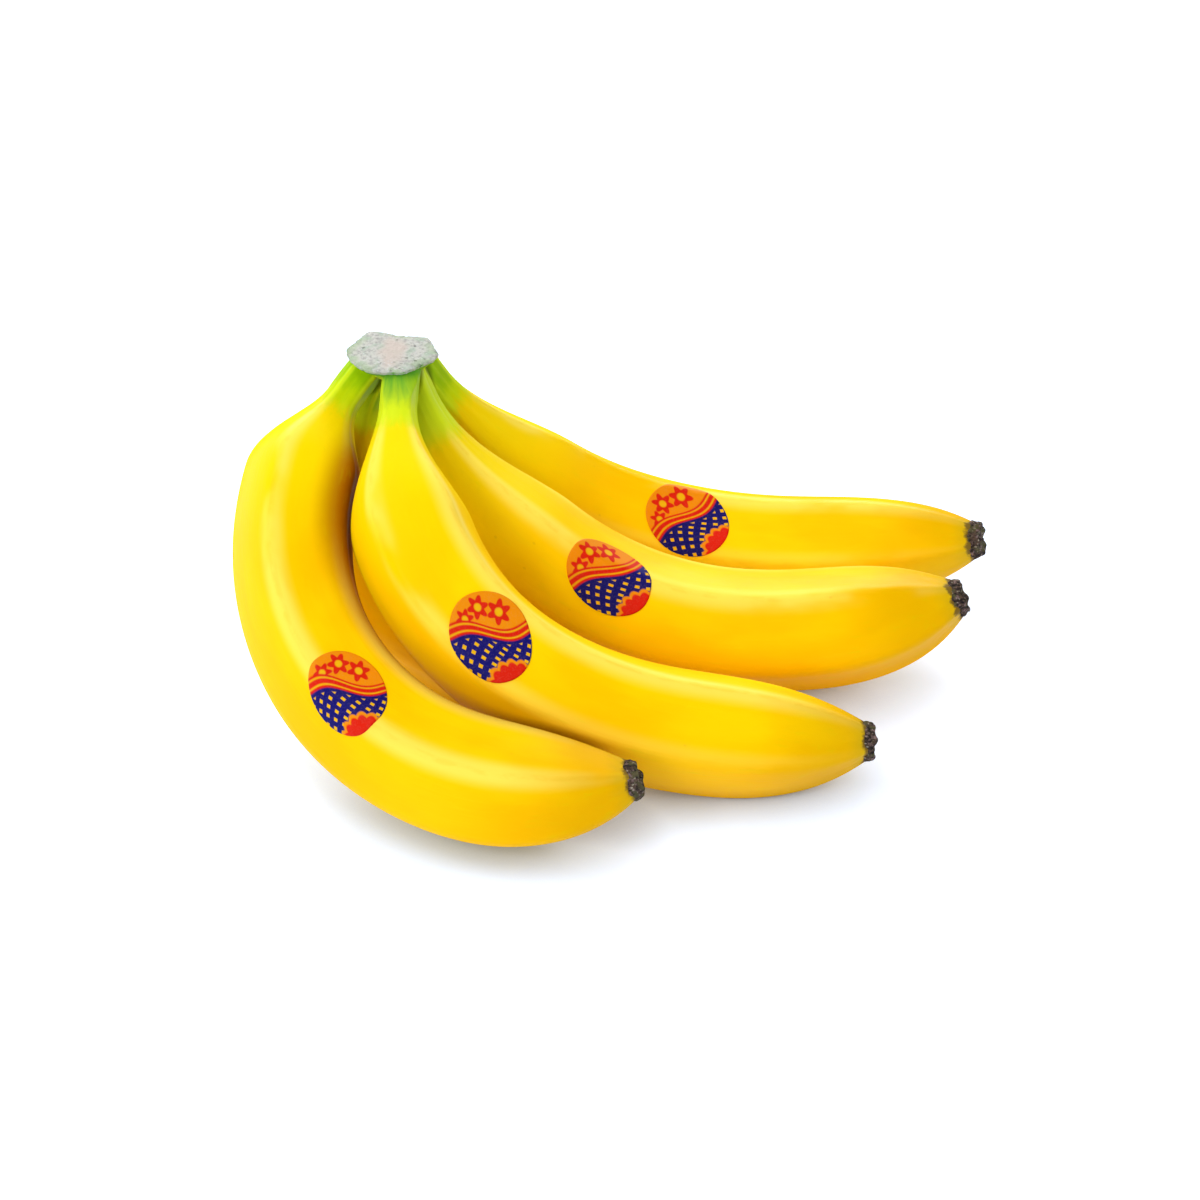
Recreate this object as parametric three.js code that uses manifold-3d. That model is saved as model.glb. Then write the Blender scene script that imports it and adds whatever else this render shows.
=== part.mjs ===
// A hand of five bananas, joined at the crown where it was cut from its stalk.
//
// Millimetres and degrees. +Z is up, and z = 0 is the surface that the bunch
// lies on. The crown is raised at the back left, the fingers arch down to the
// surface on their convex bellies, and their tips point to +X with the hollow
// side of each finger up. The origin lies under the middle of the whole bunch.

import * as THREE from 'three';
import { mergeVertices } from 'three/addons/utils/BufferGeometryUtils.js';
import Module from 'manifold-3d';

// ---------------------------------------------------------------- dimensions

const GAP = 0.3; // clearance between pieces that touch
const SETTLE = 0.45; // depth of a belly that is flattened by the surface

// The crown: the irregular cut face and the pad of stalk tissue under it.
const CROWN = {
  centre: [-71.8, 50.7, 99.3], // middle of the cut face
  tilt: 5, // the face leans towards -Y
  depth: 10, // from the cut face down to the underside
  rise: 0.8, // of the face towards its middle
  // corners of the cut face round its centre, anticlockwise from the right
  corners: [
    [14.9, -2], [12.4, 4], [10.8, 8], [1, 9], [-5.5, 11.5], [-8.5, 11.5],
    [-12, 6.5], [-15, 1.5], [-14.6, -3.5], [-11, -8.5], [-6.5, -12],
    [3.5, -12.3], [9, -8.5], [13.5, -4.5],
  ],
  // [share of the depth, share of the outline] from the face down
  walls: [[0, 0.97], [0.1, 1.02], [0.28, 0.88], [0.6, 0.62], [0.85, 0.36]],
};

// The form that all the fingers share. Places along a finger are shares of its
// length, from the crown to the tip.
const FINGER = {
  neckRadius: 6,
  taperStart: 0.72, // the girth falls off towards the tip
  taperPower: 3.3,
  tipRadius: 6.6,
  bendStart: 0.02, // the stretch that bends more than the rest
  bendEnd: 0.78,
  rootDome: 5, // height of the rounded root inside the crown
  tipDome: 1.2, // height of the rounded rim at the tip
  facets: 5, // flat sides; the twist turns one of them off the hollow side
  neckEdge: 8, // sharpness of the edges between the flats
  bodyEdge: 6,
  tipEdge: 5,
};

// One row a finger: where its neck is rooted, the way the neck leaves the
// crown (compass heading from +X, and dip below level), the roll of the plane
// that it bends in, its length, girth and total bend, the share of the bend
// that is spread evenly over the length, the sideways drift of its tip, the
// places where the neck starts to swell and has reached full girth, and the
// twist of its flat sides.
const FINGERS = [
  { root: [-79.7, 54.9], heading: -139.5, dip: 32, roll: 15.5, length: 219, radius: 19.1,
    bend: 142.5, even: 1, drift: 0, neck: 0.06, shoulder: 0.195, twist: -12 },
  { root: [-68.4, 49.2], heading: -96.5, dip: 31, roll: -17.5, length: 224.5, radius: 19.1,
    bend: 97, even: 0.37, drift: 19, neck: 0.08, shoulder: 0.28, twist: 32.5 },
  { root: [-66.6, 49], heading: -42.5, dip: 60.5, roll: 10, length: 209, radius: 19.6,
    bend: 92, even: 0.79, drift: -1.5, neck: 0.03, shoulder: 0.33, twist: 6.5 },
  { root: [-64, 57.1], heading: 32.5, dip: 60, roll: 10, length: 217, radius: 17.8,
    bend: 86.5, even: 0.41, drift: 2, neck: 0.03, shoulder: 0.32, twist: 22.5 },
  { root: [-75.9, 58.3], heading: 168, dip: 65.5, roll: 57, length: 149.5, radius: 16.2,
    bend: 115.5, even: 0.16, drift: -20, neck: 0.08, shoulder: 0.27, twist: -7.5 },
];

// The dried remains of the flower at each tip.
const BLOSSOM = { length: 2.6, radius: 6.1, ragged: 0.16, sides: 11 };

// Oval labels on the four outer fingers: place along the finger and angle round
// it from the hollow side. The long way of the oval turns off the finger's way.
const STICKER = { long: 29, wide: 24, turn: 22, lift: 0.6, thickness: 0.45 };
const STICKERS = [
  { finger: 0, along: 0.588, angle: 98 },
  { finger: 1, along: 0.47, angle: 76 },
  { finger: 2, along: 0.446, angle: 45 },
  { finger: 3, along: 0.545, angle: -3 },
];

// Facets of the meshes
const SIDES = 20; // round a finger
const RINGS = 40; // along a finger
const STEPS = 240; // of the centreline
const STICKER_SIDES = 20;
const STICKER_RINGS = 4;

const COLOURS = {
  skin: { color: 0xf7cf12, roughness: 0.48, metalness: 0 },
  crown: { color: 0xa9a690, roughness: 0.9, metalness: 0 },
  blossom: { color: 0x3b2c22, roughness: 0.95, metalness: 0 },
  sticker: { color: 0x27358c, roughness: 0.35, metalness: 0 },
};

// ------------------------------------------------------------------- helpers

const wasm = await Module();
wasm.setup();

const radians = THREE.MathUtils.degToRad;
const smooth = (x, from, to) => THREE.MathUtils.smoothstep(x, from, to);

// A repeatable sequence of numbers from 0 to 1.
function randomNumbers(seed) {
  let state = seed;
  return () => {
    state = (state * 1664525 + 1013904223) % 4294967296;
    return state / 4294967296;
  };
}

// A closed mesh through rings of points, with a point at each end.
function loft(start, rings, end) {
  const sides = rings[0].length;
  const points = [start, ...rings.flat(), end];
  const at = (ring, side) => 1 + ring * sides + (side % sides);
  const last = rings.length - 1;
  const faces = [];
  for (let side = 0; side < sides; side += 1) {
    faces.push(0, at(0, side + 1), at(0, side));
    for (let ring = 0; ring < last; ring += 1) {
      faces.push(at(ring, side), at(ring, side + 1), at(ring + 1, side));
      faces.push(at(ring + 1, side), at(ring, side + 1), at(ring + 1, side + 1));
    }
    faces.push(points.length - 1, at(last, side), at(last, side + 1));
  }
  const geometry = new THREE.BufferGeometry().setFromPoints(points);
  geometry.setIndex(faces);
  return geometry;
}

function toSolid(geometry) {
  const bare = geometry.clone();
  bare.deleteAttribute('normal');
  bare.deleteAttribute('uv');
  const merged = mergeVertices(bare);
  return new wasm.Manifold(new wasm.Mesh({
    numProp: 3,
    vertProperties: new Float32Array(merged.attributes.position.array),
    triVerts: new Uint32Array(merged.index.array),
  }));
}

function toGeometry(solid) {
  const { vertProperties, triVerts } = solid.getMesh();
  const geometry = new THREE.BufferGeometry();
  geometry.setAttribute('position', new THREE.BufferAttribute(vertProperties, 3));
  geometry.setIndex(new THREE.BufferAttribute(triVerts, 1));
  return geometry;
}

function meshOf(name, geometry, finish) {
  geometry.computeVertexNormals();
  const mesh = new THREE.Mesh(geometry, new THREE.MeshStandardMaterial(finish));
  mesh.name = name;
  return mesh;
}

// --------------------------------------------------------------------- crown

// The pad under the cut face, grown by a margin and raised by a headroom.
function crownGeometry(margin = 0, headroom = 0) {
  const { corners, walls, depth, rise } = CROWN;
  const ring = (scale, z) => corners.map(([x, y]) => {
    const reach = Math.hypot(x, y);
    const grown = (reach * scale + margin) / reach;
    return new THREE.Vector3(x * grown, y * grown, z);
  });
  const rings = walls.map(([down, scale]) => (
    ring(scale, down > 0 ? -down * depth - margin / 2 : headroom)
  ));
  const top = new THREE.Vector3(0, 0, rise + headroom);
  const bottom = new THREE.Vector3(0, 0, -depth - margin);
  const geometry = loft(bottom, rings.reverse(), top);
  geometry.rotateX(radians(CROWN.tilt));
  geometry.translate(...CROWN.centre);
  return geometry;
}

// ------------------------------------------------------------------- fingers

// From 0 in the neck to 1 where the finger has its full girth.
function swollen(finger, along) {
  return smooth(along, finger.neck, finger.shoulder);
}

function radiusAt(finger, along) {
  const { neckRadius, taperStart, taperPower, tipRadius } = FINGER;
  const swell = THREE.MathUtils.lerp(neckRadius, finger.radius, swollen(finger, along));
  const past = Math.max(0, (along - taperStart) / (1 - taperStart));
  return swell * (1 - (1 - tipRadius / finger.radius) * past ** taperPower);
}

// How far the rounded pentagon of the section stands out at an angle, as a
// share of its mean radius.
function sectionAt(angle, edge) {
  const reach = (a) => {
    let sum = 0;
    for (let k = 0; k < FINGER.facets; k += 1) {
      const facing = Math.cos(a - (k * 2 * Math.PI) / FINGER.facets);
      sum += Math.max(0, facing) ** edge;
    }
    return sum ** (-1 / edge);
  };
  const mean = (reach(0) + reach(Math.PI / FINGER.facets)) / 2;
  return reach(angle) / mean;
}

function edgeAt(finger, along) {
  const { neckEdge, bodyEdge, tipEdge, taperStart } = FINGER;
  const body = THREE.MathUtils.lerp(neckEdge, bodyEdge, swollen(finger, along));
  return THREE.MathUtils.lerp(body, tipEdge, smooth(along, taperStart, 1));
}

// The centreline, as a list of frames: the middle of the section, the way on,
// the way to the hollow side, and the way across.
function centreline(spec) {
  const heading = radians(spec.heading);
  const dip = radians(-spec.dip);
  const ahead = new THREE.Vector3(
    Math.cos(dip) * Math.cos(heading), Math.cos(dip) * Math.sin(heading), Math.sin(dip));
  const level = new THREE.Vector3(1, 0, 0);
  const inner = level.addScaledVector(ahead, -level.dot(ahead)).normalize();
  inner.applyAxisAngle(ahead, radians(spec.roll));
  const side = new THREE.Vector3().crossVectors(ahead, inner);

  const frameAt = (along) => {
    const eased = smooth(along, FINGER.bendStart, FINGER.bendEnd);
    const bend = radians(spec.bend) * ((1 - spec.even) * eased + spec.even * along);
    const drift = radians(spec.drift) * along ** 2;
    const way = new THREE.Vector3()
      .addScaledVector(ahead, Math.cos(bend) * Math.cos(drift))
      .addScaledVector(inner, Math.sin(bend) * Math.cos(drift))
      .addScaledVector(side, Math.sin(drift));
    const hollow = new THREE.Vector3()
      .addScaledVector(ahead, -Math.sin(bend))
      .addScaledVector(inner, Math.cos(bend))
      .applyAxisAngle(way, radians(spec.twist));
    const across = new THREE.Vector3().crossVectors(way, hollow);
    return { way, hollow, across };
  };

  const frames = [];
  const middle = new THREE.Vector3(...spec.root, 0);
  for (let step = 0; step <= STEPS; step += 1) {
    frames.push({ middle: middle.clone(), ...frameAt(step / STEPS) });
    const halfway = frameAt((step + 0.5) / STEPS);
    middle.addScaledVector(halfway.way, spec.length / STEPS);
  }
  return frames;
}

// A finger's frame at any place along it, by mixing the two nearest.
function frameOf(finger, along) {
  const place = THREE.MathUtils.clamp(along, 0, 1) * STEPS;
  const low = Math.min(Math.floor(place), STEPS - 1);
  const [a, b] = [finger.frames[low], finger.frames[low + 1]];
  const mixed = {};
  for (const key of ['middle', 'way', 'hollow', 'across']) {
    mixed[key] = a[key].clone().lerp(b[key], place - low);
  }
  return mixed;
}

// A point on the skin, or lifted off it.
function skinPoint(finger, along, angle, lift = 0) {
  const { middle, hollow, across } = frameOf(finger, along);
  const reach = radiusAt(finger, along) * sectionAt(angle, edgeAt(finger, along)) + lift;
  return middle
    .addScaledVector(hollow, reach * Math.cos(angle))
    .addScaledVector(across, reach * Math.sin(angle));
}

function ringOf(finger, along, lift = 0, shift = 0) {
  const { way } = frameOf(finger, along);
  return Array.from({ length: SIDES }, (_, side) => (
    skinPoint(finger, along, (side * 2 * Math.PI) / SIDES, lift).addScaledVector(way, shift)
  ));
}

// The skin of a finger over its first rings, with a domed end.
function fingerGeometry(finger, count = RINGS, lift = 0) {
  const rings = [];
  const domes = [0.35, 0.75];
  const until = count / RINGS;
  const root = frameOf(finger, 0);
  const tip = frameOf(finger, until);
  const rootRadius = radiusAt(finger, 0);
  const tipRadius = radiusAt(finger, until);
  for (const share of domes) {
    const inset = (1 - Math.sqrt(1 - (1 - share) ** 2)) * rootRadius;
    rings.push(ringOf(finger, 0, lift - inset, -(1 - share) * FINGER.rootDome - lift));
  }
  for (let ring = 0; ring <= count; ring += 1) {
    rings.push(ringOf(finger, ring / RINGS, lift));
  }
  for (const share of domes) {
    const inset = (1 - Math.sqrt(1 - share ** 2)) * tipRadius;
    rings.push(ringOf(finger, until, lift - inset, share * FINGER.tipDome));
  }
  const start = root.middle.addScaledVector(root.way, -FINGER.rootDome - lift);
  const end = tip.middle.addScaledVector(tip.way, FINGER.tipDome + lift);
  return loft(start, rings, end);
}

// A finger that hangs at the height where its belly is just flattened.
function makeFinger(spec) {
  const finger = { ...spec, frames: centreline(spec) };
  const box = new THREE.Box3().setFromBufferAttribute(fingerGeometry(finger).attributes.position);
  const lower = box.min.z + SETTLE;
  for (const frame of finger.frames) frame.middle.z -= lower;
  return finger;
}

// -------------------------------------------------------------- blossom ends

function blossomGeometry(finger, seed) {
  const random = randomNumbers(seed);
  const { middle, way, hollow, across } = frameOf(finger, 1);
  const { length, radius, ragged, sides } = BLOSSOM;
  const start = FINGER.tipDome + GAP;
  const profile = [[0, 0.7], [0.12, 0.98], [0.5, 1], [0.85, 0.86], [1, 0.55]];
  const fringe = Array.from({ length: sides }, () => 1 + ragged * (random() - 0.5));
  const point = (out, angle, reach) => middle.clone()
    .addScaledVector(way, out)
    .addScaledVector(hollow, reach * Math.cos(angle))
    .addScaledVector(across, reach * Math.sin(angle));
  const rings = profile.map(([share, scale], i) => fringe.map((stray, side) => {
    const jag = i > 2 ? ragged * length * (random() - 0.5) : 0;
    return point(start + share * length + jag, (side * 2 * Math.PI) / sides, radius * scale * stray);
  }));
  return loft(point(start, 0, 0), rings, point(start + length * 0.8, 0, 0));
}

// ------------------------------------------------------------------ stickers

function stickerGeometry({ finger: index, along, angle }) {
  const finger = fingers[index];
  const radius = radiusAt(finger, along);
  const facing = radians(angle);
  const turn = radians(STICKER.turn);
  // Skin that a unit step along the finger covers on this side of the bend.
  const before = skinPoint(finger, along - 0.5 / RINGS, facing);
  const after = skinPoint(finger, along + 0.5 / RINGS, facing);
  const stretch = RINGS * before.distanceTo(after);
  const place = (side, share, lift) => {
    const way = (side * 2 * Math.PI) / STICKER_SIDES;
    const far = (share * STICKER.long * Math.cos(way)) / 2;
    const off = (share * STICKER.wide * Math.sin(way)) / 2;
    const forward = far * Math.cos(turn) - off * Math.sin(turn);
    const round = far * Math.sin(turn) + off * Math.cos(turn);
    return skinPoint(finger, along + forward / stretch, facing + round / radius, lift);
  };
  const ring = (share, lift) => (
    Array.from({ length: STICKER_SIDES }, (_, side) => place(side, share, lift))
  );
  const shares = Array.from({ length: STICKER_RINGS }, (_, i) => (i + 1) / STICKER_RINGS);
  const [low, high] = [STICKER.lift, STICKER.lift + STICKER.thickness];
  const rings = [
    ...shares.map((share) => ring(share, high)),
    ...shares.map((share) => ring(share, low)).reverse(),
  ];
  return loft(place(0, 0, high), rings, place(0, 0, low));
}

// ----------------------------------------------------------------- the bunch

const fingers = FINGERS.map(makeFinger);
const bunch = new THREE.Group();
bunch.name = 'banana_bunch';

bunch.add(meshOf('crown', crownGeometry(), COLOURS.crown));

// What each finger is cut back by: the crown, the surface below, and the necks
// that crowd it at the crown.
const HEADROOM = 25;
const NECK_RINGS = 7;
const crownRoom = toSolid(crownGeometry(GAP * Math.SQRT2, HEADROOM));
const ground = new THREE.BoxGeometry(600, 600, 20).translate(0, 0, -10);
const belowGround = toSolid(ground);
const neckRoom = fingers.map((finger) => (
  toSolid(fingerGeometry(finger, NECK_RINGS, GAP * Math.SQRT2))
));
const crowdedBy = [[1], [], [1], [1, 2], [0, 1, 2, 3]];

fingers.forEach((finger, i) => {
  let solid = toSolid(fingerGeometry(finger)).subtract(crownRoom).subtract(belowGround);
  for (const other of crowdedBy[i]) solid = solid.subtract(neckRoom[other]);
  bunch.add(meshOf(`banana_${i + 1}`, toGeometry(solid), COLOURS.skin));
  bunch.add(meshOf(`blossom_end_${i + 1}`, blossomGeometry(finger, 11 + i), COLOURS.blossom));
});

STICKERS.forEach((sticker, i) => {
  bunch.add(meshOf(`sticker_${i + 1}`, stickerGeometry(sticker), COLOURS.sticker));
});

export default bunch;
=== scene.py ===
import math

import bpy
import numpy as np
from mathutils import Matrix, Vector, noise


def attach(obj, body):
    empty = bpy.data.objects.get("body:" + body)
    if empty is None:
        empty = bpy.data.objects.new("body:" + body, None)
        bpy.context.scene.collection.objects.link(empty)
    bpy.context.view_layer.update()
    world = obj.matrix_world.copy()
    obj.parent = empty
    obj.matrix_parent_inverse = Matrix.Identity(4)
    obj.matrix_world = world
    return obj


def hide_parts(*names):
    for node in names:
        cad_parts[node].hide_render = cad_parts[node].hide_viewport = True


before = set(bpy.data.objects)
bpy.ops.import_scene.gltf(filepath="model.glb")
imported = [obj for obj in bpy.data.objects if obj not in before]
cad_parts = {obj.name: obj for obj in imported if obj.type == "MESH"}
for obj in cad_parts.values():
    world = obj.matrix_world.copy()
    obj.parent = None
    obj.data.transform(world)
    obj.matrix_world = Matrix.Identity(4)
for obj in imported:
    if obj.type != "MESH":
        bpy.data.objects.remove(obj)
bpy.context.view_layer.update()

# The bunch is laid out in millimetres and degrees, and each mesh is written in
# metres. +Z is up, the floor is z = 0, and the tips point to +X.

MM = 0.001

# ------------------------------------------------------------ the bunch's form

# Each finger's form: where its neck is rooted, the way it leaves the crown, the
# roll of its bend, its length, girth and total bend, the share of even bend, the
# drift of its tip, where the neck starts to swell and where it reaches full girth,
# and the twist of its flat sides. Then its colours: the distances from the root
# between which its green fades, how warm the yellow of its belly is, partly its own
# tone and partly painted shade on the underside, and how much painted shade darkens
# it where it faces a neighbour.
FINGERS = [
    dict(root=(-79.7, 54.9), heading=-139.5, dip=32, roll=15.5, length=219, radius=19.1,
         bend=142.5, even=1, drift=0, neck=0.06, shoulder=0.195, twist=-12,
         green=(5, 27), warm=0.3, shade=1.0),
    dict(root=(-68.4, 49.2), heading=-96.5, dip=31, roll=-17.5, length=224.5, radius=19.1,
         bend=97, even=0.37, drift=19, neck=0.08, shoulder=0.28, twist=32.5,
         green=(12, 37), warm=0.5, shade=0.0),
    dict(root=(-66.6, 49), heading=-42.5, dip=60.5, roll=10, length=209, radius=19.6,
         bend=92, even=0.79, drift=-1.5, neck=0.03, shoulder=0.33, twist=6.5,
         green=(5, 28), warm=0.8, shade=0.0),
    dict(root=(-64, 57.1), heading=32.5, dip=60, roll=10, length=217, radius=17.8,
         bend=86.5, even=0.41, drift=2, neck=0.03, shoulder=0.32, twist=22.5,
         green=(5, 25), warm=0.5, shade=0.3),
    dict(root=(-75.9, 58.3), heading=168, dip=65.5, roll=57, length=149.5, radius=16.2,
         bend=115.5, even=0.16, drift=-20, neck=0.08, shoulder=0.27, twist=-7.5,
         green=(9, 26), warm=0.6, shade=0.6),
]
NECK_RADIUS = 6
ROOT_DEPTHS = (3, 9, 9, 9, 9)  # how far each neck runs on into the crown
BEND_SPAN = (0.02, 0.78)  # the stretch that takes the uneven share of the bend
TAPER_START = 0.72
TAPER_POWER = 3.3
TIP_RADIUS = 6.6
TIP_DOME = 1.2
FACETS = 5
PLAIN_EDGES = (8, 6, 5)  # how crisp the solids' ridges are: neck, body and tip
SETTLE = 0.45  # how far each belly gives where it lies on the floor
PLAIN_RINGS, PLAIN_SIDES = 41, 20  # of the solids, whose lowest point settles a finger

CROWN_CENTRE = np.array([-71.8, 50.7, 99.3])
CROWN_TILT = 5
CROWN_DEPTH = 10
CROWN_RISE = 0.8
CROWN_CORNERS = [
    (14.9, -2), (12.4, 4), (10.8, 8), (1, 9), (-5.5, 11.5), (-8.5, 11.5), (-12, 6.5),
    (-15, 1.5), (-14.6, -3.5), (-11, -8.5), (-6.5, -12), (3.5, -12.3), (9, -8.5), (13.5, -4.5),
]
CROWN_WALLS = [(0, 0.97), (0.1, 1.02), (0.28, 0.88), (0.6, 0.62), (0.85, 0.36), (1.05, 0.1)]
# Necks stay this far under the cut face, and inside this share of its reach, a hold
# that ends between these two depths.
TUCK_DEPTH = 1.0
TUCK_SHARE = 0.96
TUCK_FADE = (2.0, 4.5)

LABEL_LONG = 29
LABEL_WIDE = 24
LABEL_TURN = 22
LABEL_TOP = 0.3  # the printed face over the skin, in millimetres
# The finger, the place along it and the angle round it of each label.
LABELS = [(0, 0.588, 98), (1, 0.47, 76), (2, 0.446, 45), (3, 0.545, -3)]

# How the surfaces are drawn: a little inside the solids, with crisper ridges.
SHRINK = 0.988
RIDGE_EDGE = 16
RIDGE_SHARE = 0.75
# The turns round, the pace along and the height of each swelling.
WAVES = [(1, 0.05, 0.08), (2, 0.033, 0.07), (0, 0.11, 0.05), (3, 0.021, 0.05), (4, -0.047, 0.04)]
FOLD_COUNTS = (9, 13, 17)
FOLD_HEIGHT = 0.03
TIP_FOLDS = 0.93  # where the folds of the tip begin
WEB = 2.2  # the width of the webs between the necks
WEB_DEPTH = (3, 11)  # the depths under the cut face between which they end
WEB_LIMIT = 2.5  # how far they may reach out from a neck
WEB_FADE = (28, 20)  # and how far along it they go
ALONE_PASSES, ALONE_STEP = 12, 0.5  # the search for a neck's own skin
WEB_PASSES, WEB_STEP = 16, 0.4  # and then for the web on it
GAP_PACE = 0.012  # the share of a finger between two places that are measured
NECK_SPAN = 46  # how much of each finger counts as its neck there
FAR_AWAY = 50  # gaps and depths beyond this are all the same
FLOOR_GAP = 0.04  # the least height of a skin over the floor
PHASES = 6.28  # the range of a random phase


def smooth(x, low, high):
    """From 0 to 1, smoothly, as x goes from low to high."""
    t = np.clip((np.asarray(x, float) - low) / (high - low), 0, 1)
    return t * t * (3 - 2 * t)


def lerp(a, b, t):
    return a + (b - a) * t


def turned(vectors, axes, degrees):
    """Vectors turned about unit axes."""
    c, s = math.cos(math.radians(degrees)), math.sin(math.radians(degrees))
    along = (vectors * axes).sum(-1, keepdims=True) * axes
    return vectors * c + np.cross(axes, vectors) * s + along * (1 - c)


def lumps(points, scale, seed):
    """A smooth noise from -1 to 1 at each point."""
    shift = Vector((seed * 7.3, seed * 3.1, seed * 5.7))
    return np.array([noise.noise(Vector(p) * scale + shift) for p in points])


def pentagon(angle, edge):
    """The reach of a rounded pentagon at an angle, about 1."""
    def reach(a):
        facing = np.cos(np.asarray(a)[..., None] - np.arange(FACETS) * math.tau / FACETS)
        return (np.maximum(facing, 0) ** edge).sum(-1) ** (-1 / edge)
    return reach(angle) / ((reach(0.0) + reach(math.pi / FACETS)) / 2)


class Finger:
    """The centreline and the skin of one banana."""

    STEPS = 240

    def __init__(self, spec):
        self.__dict__.update(spec)
        heading, dip = math.radians(self.heading), math.radians(-self.dip)
        self.ahead = np.array([
            math.cos(dip) * math.cos(heading), math.cos(dip) * math.sin(heading), math.sin(dip)])
        inner = np.array([1.0, 0, 0]) - self.ahead[0] * self.ahead
        inner /= np.linalg.norm(inner)
        self.inner = turned(inner, self.ahead, self.roll)
        self.side = np.cross(self.ahead, self.inner)
        self.places = np.linspace(0, 1, self.STEPS + 1)
        halfway = self.frame(self.places[:-1] + 0.5 / self.STEPS)[0]
        steps = np.cumsum(halfway * self.length / self.STEPS, axis=0)
        self.middles = np.vstack([[0, 0, 0], steps]) + [*self.root, 0]
        rings = np.linspace(0, 1, PLAIN_RINGS)[:, None]
        sides = np.linspace(0, math.tau, PLAIN_SIDES, endpoint=False)[None, :]
        low = self.point(rings, sides, plain=True)[..., 2].min()
        self.middles[:, 2] -= low + SETTLE

    def frame(self, along):
        """The way on, the way to the hollow side and the way across."""
        along = np.maximum(along, 0.0)[..., None]
        eased = smooth(along, *BEND_SPAN)
        bend = math.radians(self.bend) * ((1 - self.even) * eased + self.even * along)
        drift = math.radians(self.drift) * along ** 2
        way = (self.ahead * np.cos(bend) * np.cos(drift)
               + self.inner * np.sin(bend) * np.cos(drift) + self.side * np.sin(drift))
        hollow = turned(self.inner * np.cos(bend) - self.ahead * np.sin(bend), way, self.twist)
        return way, hollow, np.cross(way, hollow)

    def middle(self, along):
        """The centreline, which runs on straight before the root."""
        before = np.minimum(along, 0)[..., None] * self.length * self.ahead
        line = [np.interp(along, self.places, self.middles[:, k]) for k in range(3)]
        return np.stack(line, -1) + before

    def swollen(self, along):
        """From 0 on the neck to 1 on the body."""
        return smooth(along, self.neck, self.shoulder)

    def girth(self, along):
        """The mean radius."""
        swell = lerp(NECK_RADIUS, self.radius, self.swollen(along))
        past = np.maximum(0, (np.asarray(along) - TAPER_START) / (1 - TAPER_START))
        return swell * (1 - (1 - TIP_RADIUS / self.radius) * past ** TAPER_POWER)

    def reach(self, along, angle, plain=False):
        """The distance from the centreline to the skin."""
        if plain:
            neck, body, tip = PLAIN_EDGES
            edge = lerp(lerp(neck, body, self.swollen(along)), tip, smooth(along, TAPER_START, 1))
            section = 0
            for value in np.unique(edge):
                section = section + np.where(edge == value, pentagon(angle, value), 0)
            return self.girth(along) * section
        section = 1 + RIDGE_SHARE * (pentagon(angle, RIDGE_EDGE) - 1)
        return self.girth(along) * section * SHRINK + self.waves(along, angle)

    def waves(self, along, angle):
        """Shallow swellings and, in the neck and at the tip, lengthwise folds."""
        rng = np.random.default_rng(int(self.length * 10))
        total = 0
        for turns, pace, high in WAVES:
            phase = rng.uniform(0, math.tau)
            place = np.asarray(along) * self.length
            total = total + high * (np.sin(turns * angle + pace * place + phase) - 1)
        folds = 0
        for turns in FOLD_COUNTS:
            phase = rng.uniform(0, math.tau)
            folds = folds + np.sin(turns * angle + phase) - 1
        near_ends = (1 - self.swollen(along)) + smooth(along, TIP_FOLDS, 1)
        return total * self.swollen(along) + FOLD_HEIGHT * folds * near_ends

    def point(self, along, angle, lift=0, plain=False):
        """A place on the skin, or over it by the lift."""
        _, hollow, across = self.frame(along)
        reach = self.reach(along, angle, plain) + lift
        out = hollow * np.cos(angle)[..., None] + across * np.sin(angle)[..., None]
        return self.middle(along) + out * reach[..., None]


fingers = [Finger(spec) for spec in FINGERS]


# ------------------------------------------------------------------ the crown

def to_crown(points):
    """Points in the crown's own frame: its cut face is z = 0."""
    c, s = math.cos(math.radians(CROWN_TILT)), math.sin(math.radians(CROWN_TILT))
    x, y, z = np.moveaxis(points - CROWN_CENTRE, -1, 0)
    return np.stack([x, y * c + z * s, z * c - y * s], -1)


def from_crown(points):
    """Points from the crown's own frame, back on the bunch."""
    c, s = math.cos(math.radians(CROWN_TILT)), math.sin(math.radians(CROWN_TILT))
    x, y, z = np.moveaxis(points, -1, 0)
    return np.stack([x, y * c - z * s, y * s + z * c], -1) + CROWN_CENTRE


def crown_outline(bearing):
    """The reach of the cut face's polygon at a bearing from its centre."""
    corners = np.array(CROWN_CORNERS, float)
    following = np.roll(corners, -1, axis=0)
    ray = np.stack([np.cos(bearing), np.sin(bearing)], -1)[..., None, :]
    edge = following - corners
    across = ray[..., 0] * edge[:, 1] - ray[..., 1] * edge[:, 0]
    with np.errstate(divide="ignore"):  # a ray may run along an edge, and misses it
        far = (corners[:, 0] * edge[:, 1] - corners[:, 1] * edge[:, 0]) / across
        place = (corners[:, 0] * ray[..., 1] - corners[:, 1] * ray[..., 0]) / across
    hit = (far > 0) & (place >= -1e-9) & (place <= 1 + 1e-9)
    return np.where(hit, far, 1e9).min(-1)


def crown_reach(bearing, depth):
    """The reach of the crown's wall at a depth under its face."""
    downs, scales = zip(*CROWN_WALLS)
    return crown_outline(bearing) * np.interp(depth / CROWN_DEPTH, downs, scales)


def under_crown(points):
    """Neck points drawn in, so that they stay below the cut face and inside its rim."""
    local = to_crown(points)
    local[..., 2] = np.minimum(local[..., 2], -TUCK_DEPTH)
    depth = -local[..., 2]
    bearing = np.arctan2(local[..., 1], local[..., 0])
    far = np.hypot(local[..., 0], local[..., 1])
    edge = np.maximum(far / (crown_reach(bearing, depth) * TUCK_SHARE), 1)
    local[..., :2] /= lerp(edge, 1, smooth(depth, *TUCK_FADE))[..., None]
    return from_crown(local)


# ------------------------------------------------------------------- the webs

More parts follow.
